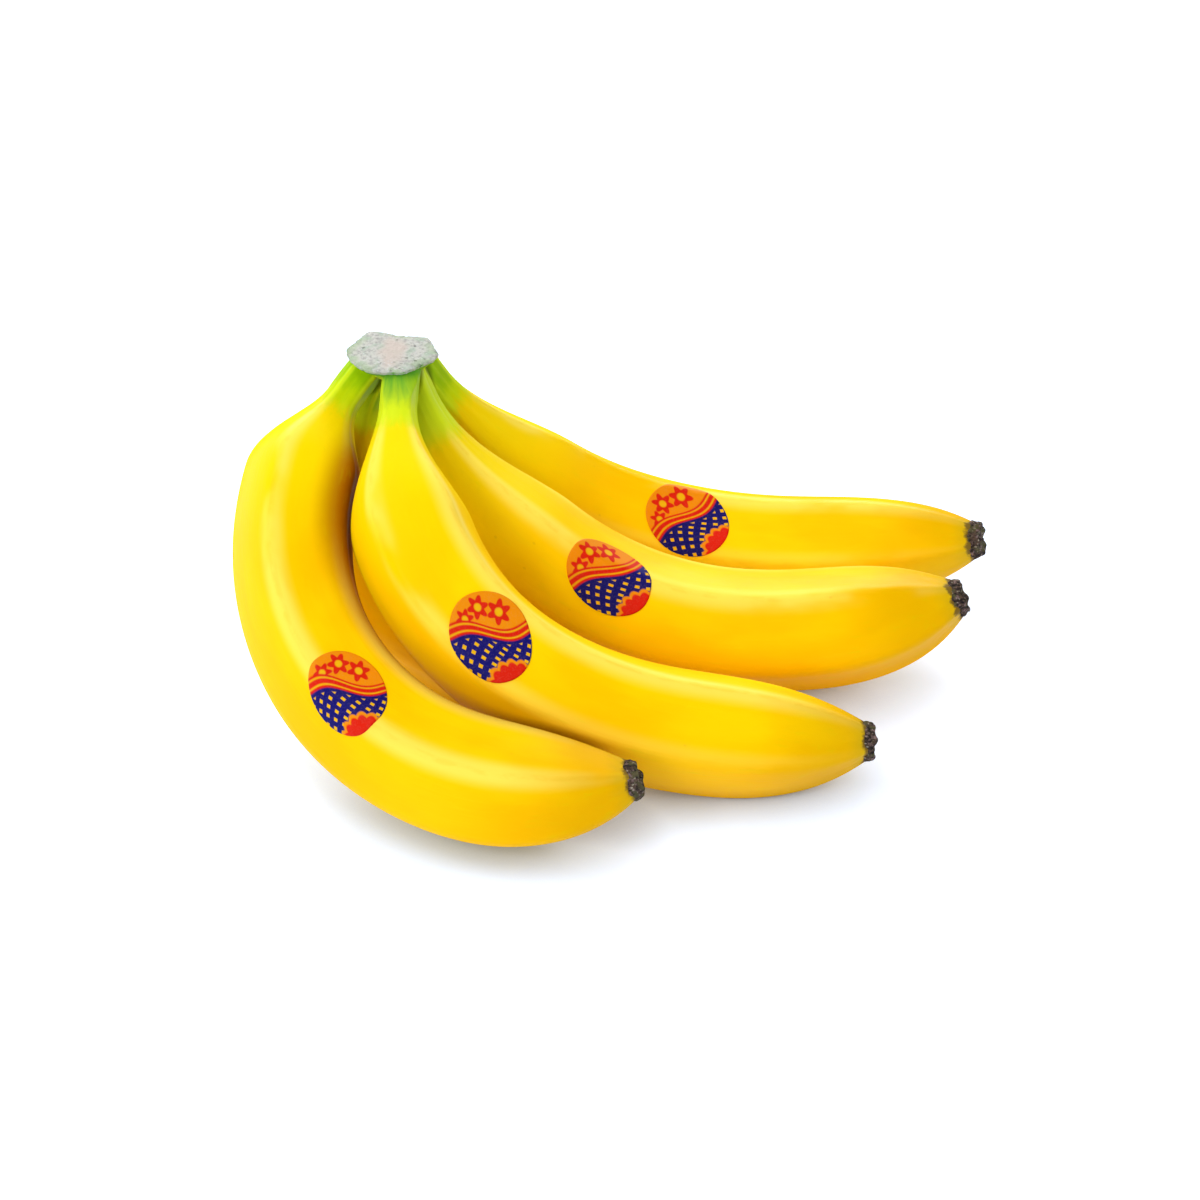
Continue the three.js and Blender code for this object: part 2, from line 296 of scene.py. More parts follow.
def merged(a, b, k):
    """The smaller of two distances, with a rounded web of width k between them."""
    h = np.maximum(k - np.abs(a - b), 0) / k
    return np.minimum(a, b) - h ** 3 * k / 6


# The centres and girths of each neck, a millimetre apart.
NECK_LINES = []
for finger in fingers:
    line = np.arange(0, NECK_SPAN, 1.0) / finger.length
    NECK_LINES.append((finger.middle(line), finger.girth(line) * SHRINK))


def neck_distance(points, index):
    """The distance to the skin of one neck."""
    centres, radii = NECK_LINES[index]
    apart = np.linalg.norm(points[..., None, :] - centres, axis=-1) - radii
    return apart.min(-1)


def webbed(points, own):
    """Distance to the joined necks and crown, and the lead of the nearest other neck."""
    local = to_crown(points)
    depth = -local[..., 2]
    k = np.maximum(WEB * (1 - smooth(depth, *WEB_DEPTH)), 0.05)
    bearing = np.arctan2(local[..., 1], local[..., 0])
    pad = np.hypot(local[..., 0], local[..., 1]) - crown_reach(bearing, depth)
    mine = neck_distance(points, own)
    joined = merged(mine, pad, k)
    lead = np.full(mine.shape, 1e9)
    for other in range(len(fingers)):
        if other != own:
            distance = neck_distance(points, other)
            joined = merged(joined, distance, k)
            lead = np.minimum(lead, distance - mine)
    return joined, lead


def neighbour_gap(points, own):
    """The distance to the nearest other finger, no more than FAR_AWAY."""
    gap = np.full(len(points), float(FAR_AWAY))
    line = np.arange(0, 1, GAP_PACE)
    for other, finger in enumerate(fingers):
        if other != own:
            apart = np.linalg.norm(points[:, None, :] - finger.middle(line), axis=-1)
            gap = np.minimum(gap, (apart - finger.girth(line)).min(-1))
    return gap


def web_growth(index, along, angle):
    """How much further the skin reaches, where a neck grows into its neighbours."""
    finger = fingers[index]
    _, hollow, across = finger.frame(along)
    out = hollow * np.cos(angle)[..., None] + across * np.sin(angle)[..., None]
    start = finger.girth(along) * SHRINK
    middle = finger.middle(along)
    alone = np.zeros(np.broadcast(along, angle).shape)
    for _ in range(ALONE_PASSES):
        distance = neck_distance(middle + out * (start + alone)[..., None], index)
        alone = alone + np.clip(-distance, 0, ALONE_STEP)
    grown = alone
    for _ in range(WEB_PASSES):
        distance, lead = webbed(middle + out * (start + grown)[..., None], index)
        step = np.where((distance < 0) & (lead > 0), np.clip(-distance, 0, WEB_STEP), 0)
        grown = np.minimum(grown + step, alone + WEB_LIMIT)
    return (grown - alone) * smooth(along * finger.length, *WEB_FADE)


# ------------------------------------------------------------------ meshes

def mesh_object(name, points, faces, material, node, values, vectors):
    """A smooth mesh from points in millimetres, with its attributes, on the frame."""
    data = bpy.data.meshes.new(name)
    data.from_pydata((np.asarray(points) * MM).tolist(), [], faces)
    data.validate()
    for key, value in values.items():
        data.attributes.new(key, "FLOAT", "POINT").data.foreach_set("value", np.ravel(value))
    for key, value in vectors.items():
        attribute = data.attributes.new(key, "FLOAT_VECTOR", "POINT")
        attribute.data.foreach_set("vector", np.ravel(value))
    data.polygons.foreach_set("use_smooth", [True] * len(data.polygons))
    data.materials.append(material)
    piece = bpy.data.objects.new(name, data)
    bpy.context.scene.collection.objects.link(piece)
    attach(piece, "root")
    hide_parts(node)


def tube_faces(rings, sides):
    """Quads along a tube of rings, with a fan of triangles at each end."""
    faces = []
    for ring in range(rings - 1):
        for side in range(sides):
            a, b = ring * sides + side, ring * sides + (side + 1) % sides
            faces.append((a, b, b + sides, a + sides))
    first, last = rings * sides, rings * sides + 1
    end = (rings - 1) * sides
    for side in range(sides):
        nxt = (side + 1) % sides
        faces.append((first, nxt, side))
        faces.append((last, end + side, end + nxt))
    return faces


def closed(rings, start, end):
    """The points of a tube, with the middle of each end."""
    return np.vstack([rings.reshape(-1, 3), [start], [end]])


def with_ends(values, start, end):
    """A value for each point of a closed tube."""
    return np.append(np.ravel(values), [start, end])


# ---------------------------------------------------------------- materials

class Shader:
    """A material whose colour, roughness and relief are built node by node."""

    def __init__(self, name):
        self.material = bpy.data.materials.new(name)
        self.material.use_nodes = True
        self.tree = self.material.node_tree
        self.surface = self.tree.nodes["Principled BSDF"]

    def put(self, socket, value):
        """Links a socket to the value, or sets it."""
        if isinstance(value, bpy.types.NodeSocket):
            self.tree.links.new(value, socket)
        elif value is not None:
            socket.default_value = value

    def add(self, kind, inputs=(), **settings):
        node = self.tree.nodes.new(kind)
        for key, value in settings.items():
            setattr(node, key, value)
        for key, value in dict(inputs).items():
            self.put(node.inputs[key], value)
        return node

    def field(self, name):
        """A number that the mesh carries."""
        return self.add("ShaderNodeAttribute", attribute_name=name).outputs["Fac"]

    def place(self, name, stretch):
        """A place that the mesh carries, scaled along each axis."""
        where = self.add("ShaderNodeAttribute", attribute_name=name).outputs["Vector"]
        scaled = self.add("ShaderNodeVectorMath", {0: where, 1: stretch}, operation="MULTIPLY")
        return scaled.outputs["Vector"]

    def maths(self, operation, a, b=None):
        return self.add("ShaderNodeMath", {0: a, 1: b}, operation=operation).outputs["Value"]

    def times(self, a, b):
        return self.maths("MULTIPLY", a, b)

    def plus(self, a, b):
        return self.maths("ADD", a, b)

    def step(self, value, low, high, start=0.0, end=1.0):
        """From start to end, smoothly, as value goes from low to high."""
        inputs = {"Value": value, "From Min": low, "From Max": high, "To Min": start, "To Max": end}
        node = self.add("ShaderNodeMapRange", inputs, interpolation_type="SMOOTHSTEP")
        return node.outputs["Result"]

    def mix(self, share, a, b):
        """Colour a, with a share of colour b."""
        rgba = [v if isinstance(v, bpy.types.NodeSocket) else (*v, 1) for v in (a, b)]
        node = self.add("ShaderNodeMix", data_type="RGBA")
        self.put(node.inputs[0], share)
        self.put(node.inputs[6], rgba[0])
        self.put(node.inputs[7], rgba[1])
        return node.outputs[2]

    def noise(self, where, scale=1.0, detail=2.0, roughness=0.5):
        inputs = {"Vector": where, "Scale": scale, "Detail": detail, "Roughness": roughness}
        return self.add("ShaderNodeTexNoise", inputs).outputs["Fac"]

    def spots(self, where, scale):
        """The distance to the nearest of many scattered points."""
        inputs = {"Vector": where, "Scale": scale}
        return self.add("ShaderNodeTexVoronoi", inputs).outputs["Distance"]

    def finish(self, colour, roughness, height, strength, distance, **constants):
        """Sets the surface's colour, gloss and relief, and its constants."""
        self.put(self.surface.inputs["Base Color"], colour)
        self.put(self.surface.inputs["Roughness"], roughness)
        bump = {"Height": height, "Strength": strength, "Distance": distance}
        relief = self.add("ShaderNodeBump", bump).outputs["Normal"]
        self.put(self.surface.inputs["Normal"], relief)
        for key, value in constants.items():
            self.surface.inputs[key.replace("_", " ")].default_value = value
        return self.material


# Linear colours.
YELLOW_DEEP = (0.95, 0.53, 0.0)
YELLOW_LIGHT = (0.97, 0.62, 0.001)
YELLOW_FIBRE = (0.92, 0.58, 0.006)
# A painted highlight, for the ridges on the upper side.
PAINTED_HIGHLIGHT_YELLOW = (0.97, 0.77, 0.13)
# Painted shade, where a finger faces a neighbour.
PAINTED_SHADE_BETWEEN = (0.34, 0.11, 0.0)
# Painted shade, darker still, where fingers nearly touch.
PAINTED_SHADE_FOLD = (0.22, 0.07, 0.0)
YELLOW_RIDGE = (0.8, 0.42, 0.003)
# Warmer yellow of the belly: partly its own tone, partly painted shade on the underside.
YELLOW_WARM_AND_SHADE = (0.95, 0.38, 0.0)
LEMON = (0.92, 0.67, 0.001)
YELLOW_DULL = (0.7, 0.36, 0.0)
# Painted shade in the creases where necks meet.
PAINTED_SHADE_CREASE = (0.06, 0.11, 0.001)
FRECKLE = (0.3, 0.13, 0.015)
OLIVE = (0.5, 0.36, 0.01)
SCORCH = (0.1, 0.06, 0.02)
LIME = (0.54, 0.67, 0.003)
# Pale lime: the neck's own streaks, and on its ridges a painted highlight.
PALE_LIME_AND_HIGHLIGHT = (0.68, 0.8, 0.02)
GREEN = (0.26, 0.5, 0.003)
EMERALD = (0.07, 0.34, 0.03)
CORK_DARK = (0.36, 0.36, 0.34)
CORK_LIGHT = (0.53, 0.53, 0.49)
CORK_GREEN = (0.37, 0.47, 0.37)
CORK_HEART = (0.56, 0.48, 0.43)
CORK_PALE = (0.62, 0.63, 0.65)
CORK_MOSS = (0.3, 0.44, 0.22)
CORK_HOLE = (0.12, 0.13, 0.1)
HUSK_DARK = (0.016, 0.011, 0.01)
HUSK = (0.11, 0.07, 0.05)
HUSK_MOSS = (0.12, 0.12, 0.045)
HUSK_PINK = (0.3, 0.2, 0.19)
HUSK_PALE = (0.45, 0.4, 0.3)
LABEL_BLUE = (0.005, 0.004, 0.125)
LABEL_RED = (0.62, 0.012, 0.001)
LABEL_ORANGE = (0.76, 0.235, 0.0)
LABEL_YELLOW = (0.75, 0.4, 0.001)
LABEL_WORN = (0.5, 0.35, 0.3)
# The middle and the size of each rosette, on an oval that reaches 1 both ways.
LABEL_ROSETTES = [(-0.45, 0.4, 0.25), (0.02, 0.66, 0.23), (0.45, 0.5, 0.19)]


def skin_body(s, along, ridge, noises):
    """The yellow of the body."""
    cloud, fibre, mottle = noises
    yellow = s.mix(s.step(cloud, 0.35, 0.65), YELLOW_DEEP, YELLOW_LIGHT)
    # The belly, which lies underneath, is warmer: partly its own tone, partly painted shade.
    yellow = s.mix(s.field("warm"), yellow, YELLOW_WARM_AND_SHADE)
    # It is lemon yellow near the neck.
    lemon = s.step(s.plus(along, s.times(cloud, 30.0)), 105.0, 40.0)
    yellow = s.mix(lemon, yellow, LEMON)
    yellow = s.mix(s.times(s.step(fibre, 0.5, 0.75), 0.16), yellow, YELLOW_FIBRE)
    # Ridges on the upper side are paler, a painted highlight, with a thin, broken, duller line.
    painted_highlight = s.times(s.times(s.step(ridge, 0.3, 0.9), s.field("up")), s.step(cloud, 0.34, 0.5))
    yellow = s.mix(s.times(painted_highlight, 0.6), yellow, PAINTED_HIGHLIGHT_YELLOW)
    line = s.times(s.step(ridge, 0.9, 0.99), s.step(mottle, 0.42, 0.62))
    yellow = s.mix(s.times(line, 0.2), yellow, YELLOW_RIDGE)
    # Sparse small freckles, drawn out lengthwise.
    dots = s.spots(s.place("grain", (0.16, 0.16, 0.1)), 1.0)
    rare = s.step(s.noise(s.place("grain", (0.03, 0.03, 0.03)), detail=1.0), 0.5, 0.62)
    freckle = s.times(s.step(dots, 0.08, 0.04), rare)
    return s.mix(s.times(freckle, 0.14), yellow, FRECKLE)


def skin_tip(s, yellow, tip, noises):
    """The last stretch is duller, then olive, then brown at the blossom end."""
    cloud, _, mottle = noises
    dull = s.step(s.plus(tip, s.times(cloud, 26.0)), 52.0, 20.0)
    yellow = s.mix(s.times(dull, 0.66), yellow, YELLOW_DULL)
    olive = s.times(s.step(s.plus(tip, s.times(mottle, 5.0)), 9.0, 3.0), 0.4)
    yellow = s.mix(olive, yellow, OLIVE)
    scorched = s.step(s.plus(tip, s.times(mottle, 4.5)), 3.6, 2.4)
    return s.mix(s.times(scorched, 0.85), yellow, SCORCH)


def skin_neck(s, yellow, ridge, green, depth, noises):
    """The neck is green, ribbed in lime, and deepest in colour at the crown."""
    cloud, fibre, mottle = noises
    wobble = s.plus(green, s.times(s.plus(mottle, -0.5), 0.5))
    wobble = s.plus(wobble, s.times(s.plus(fibre, -0.5), 0.25))
    colour = s.mix(s.step(wobble, 0.0, 0.62), yellow, LIME)
    colour = s.mix(s.times(s.step(wobble, 0.6, 1.1), 0.9), colour, GREEN)
    # Pale lime on the ridges is a painted highlight; where the noise puts it, it is the neck's own
    # streaking.
    streak = s.maths("MAXIMUM", s.step(ridge, 0.5, 0.9), s.step(cloud, 0.46, 0.6))
    pale = s.times(s.step(green, 0.05, 0.5), streak)
    colour = s.mix(s.times(pale, 0.65), colour, PALE_LIME_AND_HIGHLIGHT)
    rim = s.step(s.plus(depth, s.times(mottle, 4.0)), 8.0, 4.5)
    return s.mix(s.times(rim, 0.9), colour, EMERALD)


def skin_material():
    """Yellow skin, green at the neck and scorched at the blossom end."""
    s = Shader("banana_skin")
    along, tip, ridge = s.field("along"), s.field("tip"), s.field("ridge")
    green, depth = s.field("green"), s.field("depth")
    cloud = s.noise(s.place("grain", (0.05, 0.05, 0.02)), detail=3.0)
    fibre = s.noise(s.place("grain", (1.1, 1.1, 0.05)), detail=3.0, roughness=0.6)
    mottle = s.noise(s.place("grain", (0.35, 0.35, 0.12)), detail=4.0, roughness=0.6)
    noises = cloud, fibre, mottle
    yellow = skin_tip(s, skin_body(s, along, ridge, noises), tip, noises)
    # Painted shade: skin that faces a neighbour closely is deeper in colour.
    gap = s.field("gap")
    yellow = s.mix(s.times(s.step(gap, 13.0, 1.5), s.field("shade")), yellow, PAINTED_SHADE_BETWEEN)
    # Painted shade, a darker brown, where fingers nearly touch.
    yellow = s.mix(s.times(s.step(gap, 3.6, 0.5), 0.75), yellow, PAINTED_SHADE_FOLD)
    colour = skin_neck(s, yellow, ridge, green, depth, noises)
    # The creases where necks meet get the darkest painted shade.
    crease_shade = s.times(s.step(gap, 2.6, 0.4), s.step(along, 36.0, 24.0))
    colour = s.mix(s.times(crease_shade, 0.8), colour, PAINTED_SHADE_CREASE)
    # The bloom on the skin dulls its gloss at a low angle.
    facing = s.add("ShaderNodeLayerWeight").outputs["Facing"]
    straight = s.step(fibre, 0.3, 0.7, 0.3, 0.38)
    rough = s.maths("MAXIMUM", straight, s.step(facing, 0.6, 0.92, 0.3, 1.0))
    height = s.plus(s.times(fibre, 0.5), s.times(mottle, 0.6))
    return s.finish(colour, rough, height, 0.22, 0.0006, IOR=1.15, Specular_IOR_Level=0.36,
                    Specular_Tint=(1.0, 0.95, 0.25, 1))


def crown_material():
    """A pale, pitted cut face over a ribbed green wall."""
    s = Shader("crown_tissue")
    face, rho, depth = s.field("face"), s.field("rho"), s.field("depth")
    fine = s.noise(s.place("grain", (0.7, 0.7, 0.7)), detail=3.0, roughness=0.6)
    broad = s.noise(s.place("grain", (0.16, 0.16, 0.16)), detail=3.0)
    tint = s.noise(s.place("grain", (0.26, 0.26, 0.26)), detail=2.0)
    pits = s.spots(s.place("grain", (1.0, 1.0, 1.0)), 0.42)
    grit = s.spots(s.place("grain", (1.0, 1.0, 1.0)), 0.9)
    cork = s.mix(s.step(fine, 0.34, 0.58), CORK_DARK, CORK_LIGHT)
    cork = s.mix(s.times(s.step(tint, 0.48, 0.66), 0.6), cork, CORK_GREEN)
    heart = s.times(s.step(s.plus(s.field("heart"), s.times(broad, 1.6)), 2.1, 1.3), 0.85)
    cork = s.mix(heart, cork, CORK_HEART)
    outer = s.step(rho, 0.25, 0.7)
    bright = s.times(s.step(grit, 0.35, 0.1), outer)
    cork = s.mix(s.times(bright, 0.6), cork, CORK_PALE)
    holes = s.times(s.step(pits, 0.28, 0.12), s.times(outer, s.step(tint, 0.42, 0.52)))
    cork = s.mix(s.times(holes, 0.6), cork, CORK_HOLE)
    green_rim = s.times(s.step(rho, 0.65, 1.0), s.step(broad, 0.4, 0.55))
    cork = s.mix(s.times(green_rim, 0.6), cork, CORK_MOSS)
    ribs = s.noise(s.place("ribs", (1.0, 1.0, 0.12)), detail=3.0)
    wall = s.mix(s.step(ribs, 0.35, 0.65), GREEN, LIME)
    wall = s.mix(s.step(s.plus(depth, fine), 4.2, 2.2), wall, EMERALD)
    colour = s.mix(s.step(s.plus(face, s.times(fine, 0.3)), 0.5, 0.75), wall, cork)
    height = s.plus(s.times(fine, 1.0), s.times(holes, -0.8))
    return s.finish(colour, s.step(fine, 0.3, 0.7, 0.8, 0.95), height, 0.7, 0.001,
                    Specular_IOR_Level=0.2)


def blossom_material():
    """A dark dry husk with patches of moss green, pink and straw."""
    s = Shader("dried_blossom")
    fibre = s.noise(s.place("grain", (1.0, 1.0, 0.5)), detail=5.0, roughness=0.7)
    patch = s.noise(s.place("grain", (0.35, 0.35, 0.35)), detail=2.0)
    blush = s.noise(s.place("grain", (0.3, 0.3, 0.4)), scale=1.7, detail=3.0)
    flecks = s.spots(s.place("grain", (0.9, 0.9, 0.7)), 1.0)
    colour = s.mix(s.step(fibre, 0.4, 0.6), HUSK_DARK, HUSK)
    colour = s.mix(s.times(s.step(patch, 0.48, 0.6), 0.6), colour, HUSK_MOSS)
    colour = s.mix(s.times(s.step(blush, 0.5, 0.62), s.step(fibre, 0.4, 0.65)), colour, HUSK_PINK)
    colour = s.mix(s.times(s.step(flecks, 0.35, 0.15), s.step(fibre, 0.45, 0.6)), colour, HUSK_PALE)
    return s.finish(colour, s.step(fibre, 0.3, 0.7, 0.85, 1.0), fibre, 0.9, 0.0014,
                    Specular_IOR_Level=0.15)


def label_material():
    """A printed oval: rosettes over a lined band, then lozenges and a scalloped foot."""
    s = Shader("label_print")
    u, v = s.field("u"), s.field("v")
    paper = s.noise(s.place("grain", (2.0, 2.0, 2.0)), detail=3.0)

    def polar(x0, y0):
        x, y = s.plus(u, -x0), s.plus(v, -y0)
        far = s.maths("SQRT", s.plus(s.times(x, x), s.times(y, y)))
        return far, s.maths("ARCTAN2", y, x)

    def inside(far, edge, soft=0.025):
        return s.step(s.maths("SUBTRACT", far, edge), soft, -soft)

    # The height over the wavy foot of the upper field.
    wave = s.plus(s.times(s.maths("SINE", s.times(u, 3.4)), 0.11), s.times(u, 0.3))
    high = s.maths("SUBTRACT", v, wave)
    colour = s.mix(s.step(high, -0.02, 0.02), LABEL_BLUE, LABEL_ORANGE)
    for x0, y0, size in LABEL_ROSETTES:
        far, bearing = polar(x0, y0)
        petals = s.plus(s.times(s.maths("COSINE", s.times(bearing, 6.0)), size * 0.25), size)
        colour = s.mix(inside(far, petals), colour, LABEL_RED)
        colour = s.mix(inside(far, size * 0.4), colour, LABEL_YELLOW)
    # A red band with two thin lines.
    band = s.maths("ABSOLUTE", s.plus(high, -0.08))
    colour = s.mix(inside(band, 0.15), colour, LABEL_RED)
    colour = s.mix(inside(s.maths("ABSOLUTE", s.plus(band, -0.075)), 0.018), colour, LABEL_YELLOW)
    # Rows of small lozenges on the blue field.
    slants = [s.plus(s.times(u, 3.4), s.times(high, turn)) for turn in (3.4, -3.4)]
    apart = [s.maths("ABSOLUTE", s.plus(s.maths("FRACT", slant), -0.5)) for slant in slants]
    lozenge = inside(s.maths("MAXIMUM", *apart), 0.2, 0.04)
    colour = s.mix(s.times(lozenge, s.step(high, -0.14, -0.18)), colour, LABEL_YELLOW)
    # A scalloped foot.
    far, bearing = polar(0.15, -1.35)
    scallops = s.times(s.maths("ABSOLUTE", s.maths("SINE", s.times(bearing, 9.0))), 0.07)
    colour = s.mix(inside(far, s.plus(scallops, 0.72)), colour, LABEL_ORANGE)
    colour = s.mix(inside(far, s.plus(scallops, 0.64)), colour, LABEL_RED)
    colour = s.mix(s.times(s.step(paper, 0.45, 0.8), 0.06), colour, LABEL_WORN)
    return s.finish(colour, s.step(paper, 0.3, 0.7, 0.38, 0.5), paper, 0.1, 0.0003,
                    IOR=1.2, Specular_IOR_Level=0.3)


def floor_material():
    """A pale floor with a painted glow, dimmed into a painted shadow close to what stands on it."""
    s = Shader("pale_floor")
    where = s.add("ShaderNodeTexCoord").outputs["Object"]
    fine = s.noise(where, scale=180.0, detail=3.0)
    colour = s.mix(fine, (0.46, 0.56, 0.76), (0.48, 0.58, 0.78))
    glow_unoccluded = s.add("ShaderNodeAmbientOcclusion", {"Distance": 0.024}, samples=8).outputs["AO"]
    # Painted light: the floor glows white, and ambient occlusion dims the glow near what stands on
    # it.
    s.surface.inputs["Emission Color"].default_value = (1, 1, 1, 1)
    s.put(s.surface.inputs["Emission Strength"], s.times(glow_unoccluded, 0.72))
    return s.finish(colour, s.step(fine, 0.3, 0.7, 0.7, 0.8), fine, 0.02, 0.0004,
                    Specular_IOR_Level=0.1)


SKIN = skin_material()
CROWN = crown_material()
BLOSSOM = blossom_material()
LABEL = label_material()
FLOOR = floor_material()


# ------------------------------------------------------------------- pieces

FINGER_SIDES = 96
ROOT_RINGS = 10
# The stretches of a finger outside the crown, and how many rings each has.
RING_STRETCHES = [(0, 0.17, 70), (0.17, 0.9, 150), (0.9, 1, 36)]
# The two rings past the tip: their share of its girth, and how far out they are.
TIP_RIM = [(0.96, 0.5), (0.75, 1.0)]
WEBBED_NECK = 30  # webs are looked for this far along
TUCKED_NECK = 24  # and the crown holds the neck this far along
GRAIN_APART = 400  # between the grains of one finger and the next


def finger_places(index):
    """The places of a finger's rings along it, from inside the crown to the tip."""
    root = -ROOT_DEPTHS[index] / fingers[index].length
    stretches = [(root, 0, ROOT_RINGS), *RING_STRETCHES]
    return np.unique(np.concatenate([np.linspace(*stretch) for stretch in stretches]))


def finger_points(index, along, angle):
    """The rings of a finger's skin, webbed and tucked in at the crown."""
    finger = fingers[index]
    grown = np.zeros((along.size, angle.size))
    neck = (along * finger.length < WEBBED_NECK)[:, 0]
    grown[neck] = web_growth(index, np.maximum(along[neck], 0), angle)
    points = finger.point(along, angle, grown)
    near = (along * finger.length < TUCKED_NECK)[:, 0]
    points[near] = under_crown(points[near])
    tip, way = finger.middle(1.0), finger.frame(1.0)[0]
    rim = [tip + (points[-1] - tip) * share + way * shift for share, shift in TIP_RIM]
    points = np.concatenate([points, rim])
    points[..., 2] = np.maximum(points[..., 2], FLOOR_GAP)
    return points


def finger_values(index, along, angle, points):
    """What the skin's material reads at each point of a finger."""
    finger = fingers[index]
    length = finger.length
    ridge = np.broadcast_to(pentagon(angle, RIDGE_EDGE), points.shape[:2])
    ridge = (ridge - ridge.min()) / (ridge.max() - ridge.min())
    far = np.broadcast_to(along * length, ridge.shape)
    depth = np.minimum(-to_crown(points)[..., 2], FAR_AWAY)
    gap = np.array([neighbour_gap(ring, index) for ring in points])
    outward = points - finger.middle(along)
    up = smooth(outward[..., 2] / np.linalg.norm(outward, axis=-1), 0.0, 0.7)
    # The belly's warmer yellow, partly painted shade on the underside.
    warm = finger.warm * smooth(-np.cos(angle), -0.5, 0.9) * smooth(along, 0.28, 0.6)
    return {
        "along": with_ends(far, 0, length),
        "tip": with_ends(length - far, length, 0),
        "ridge": with_ends(ridge, 0, 0),
        "green": with_ends(1 - smooth(far, *finger.green), 1, 0),
        "depth": with_ends(depth, 1, FAR_AWAY),
        "warm": with_ends(warm, 0, 0),
        "gap": with_ends(gap, 0, FAR_AWAY),
        "up": with_ends(up, 0, 0),
        "shade": np.full(ridge.size + 2, finger.shade),
    }


def build_finger(index):
    """One finger's skin, from inside the crown to the rim of its blossom end."""
    finger = fingers[index]
    along = finger_places(index)[:, None]
    angle = np.linspace(0, math.tau, FINGER_SIDES, endpoint=False)[None, :]
    points = finger_points(index, along, angle)
    along = np.vstack([along, np.ones((len(TIP_RIM), 1))])
    values = finger_values(index, along, angle, points)
    girth = finger.girth(along)
    far = np.broadcast_to(along * finger.length, points.shape[:2])
    grain = np.stack([girth * np.cos(angle), girth * np.sin(angle), far], -1)
    grain = closed(grain, (0, 0, 0), (0, 0, finger.length)) + index * GRAIN_APART
    start, end = points[0].mean(0), finger.middle(1.0) + finger.frame(1.0)[0] * TIP_DOME
    mesh_object(f"banana_{index + 1}_skin", closed(points, start, end),
                tube_faces(*points.shape[:2]), SKIN, f"banana_{index + 1}",
                values, {"grain": grain})


CROWN_SIDES = 300
CROWN_FOOT = 9.2  # the depth at which the wall closes
FACE_DROP = 0.42  # keeps the rough face under its solid's
FACE_RINGS = np.linspace(0.02, 0.93, 46)
# The dried rim's section: the share of the outline, the depth under the face, and
# the place on the face, from 0 in its middle to 1 at its edge.
RIM_SECTION = [
    (0.955, 0.05, 0.95), (0.975, 0.14, 0.97), (0.992, 0.35, 1), (1.0, 0.65, 1),
    (1.004, 1.0, 1), (1.0, 1.4, 1), (0.985, 1.8, 1), (0.96, 2.2, 1),
]
WALL_RINGS = np.linspace(2.5, 8.8, 22)
WALL_DEPTHS, WALL_SHARES = (2.2, 3.5, 6, 8.5), (0.96, 0.84, 0.62, 0.36)
JAG_COUNTS = (9, 14, 23, 31, 47)
# The seed, scale and height of each noise of the cut face.
FACE_NOISES = [(3, 0.55, 0.16), (4, 1.1, 0.12), (5, 0.2, 0.14)]


def crown_section():
    """The rings of the crown, each as a row like the rim's."""
    face = [(share, 0, share) for share in FACE_RINGS]
    wall = [(np.interp(depth, WALL_DEPTHS, WALL_SHARES), depth, 1) for depth in WALL_RINGS]
    return np.array(face + RIM_SECTION + wall)


def jagged_outline(bearing):
    """The cut face's outline, with softer corners and a jagged edge."""
    outline = crown_outline(bearing)
    for _ in range(5):
        outline = (np.roll(outline, 1) + outline * 2 + np.roll(outline, -1)) / 4
    rng = np.random.default_rng(5)
    jag = sum(rng.uniform(0.1, 0.2) * (np.sin(n * bearing + rng.uniform(0, PHASES)) - 1)
              for n in JAG_COUNTS)
    return outline + jag * 0.55


def crown_points(bearing, share, depth, place):
    """The rings of the crown in its own frame, with a rough face and rim."""
    reach = jagged_outline(bearing) * share
    rise = np.where(depth < 1, CROWN_RISE * (1 - place ** 2) * 0.5, 0)
    z = np.broadcast_to(rise - depth, reach.shape)
    points = np.stack([reach * np.cos(bearing), reach * np.sin(bearing), z], -1)
    flat = points.reshape(-1, 3)
    rough = sum(lumps(flat, scale, seed) * high for seed, scale, high in FACE_NOISES)
    rough = rough.reshape(reach.shape)
    points[..., 2] += (rough - FACE_DROP) * (depth < 0.5)
    side = smooth(depth, 0.0, 0.6)
    out = 1 + rough * side / np.maximum(np.hypot(points[..., 0], points[..., 1]), 1) * 0.8
    points[..., :2] *= out[..., None]
    return points


def build_crown():
    """The cut face, its dried rim and the green wall under it."""
    bearing = np.linspace(0, math.tau, CROWN_SIDES, endpoint=False)
    share, depth, place = crown_section().T[..., None]
    points = crown_points(bearing, share, depth, place)
    rings = len(share)
    # The face's warm heart is an oval that reaches 1.
    heart = np.hypot(points[..., 0] / 4.4, (points[..., 1] + 0.8) / 8)
    turn, depths, rho = np.broadcast_arrays(bearing, depth, place)
    values = {
        "face": with_ends(smooth(depths, 2.4, 1.2), 1, 0),
        "rho": with_ends(rho, 0, 1),
        "depth": with_ends(depths, 0, 9),
        "heart": with_ends(heart, 0.2, 9),
    }
    grain = closed(points, (0, 0, 0), (0, 0, -9))
    ribs = np.stack([np.cos(turn) * 14, np.sin(turn) * 14, depths], -1)
    ribs = closed(ribs, (0, 0, 0), (0, 0, 9))
    start = from_crown(np.array([0, 0, CROWN_RISE * 0.5 - FACE_DROP]))
    end = from_crown(np.array([0, 0, -CROWN_FOOT]))
    faces = [tuple(reversed(f)) for f in tube_faces(rings, CROWN_SIDES)]
    mesh_object("crown_flesh", closed(from_crown(points), start, end), faces, CROWN, "crown",
                values, {"grain": grain, "ribs": ribs})


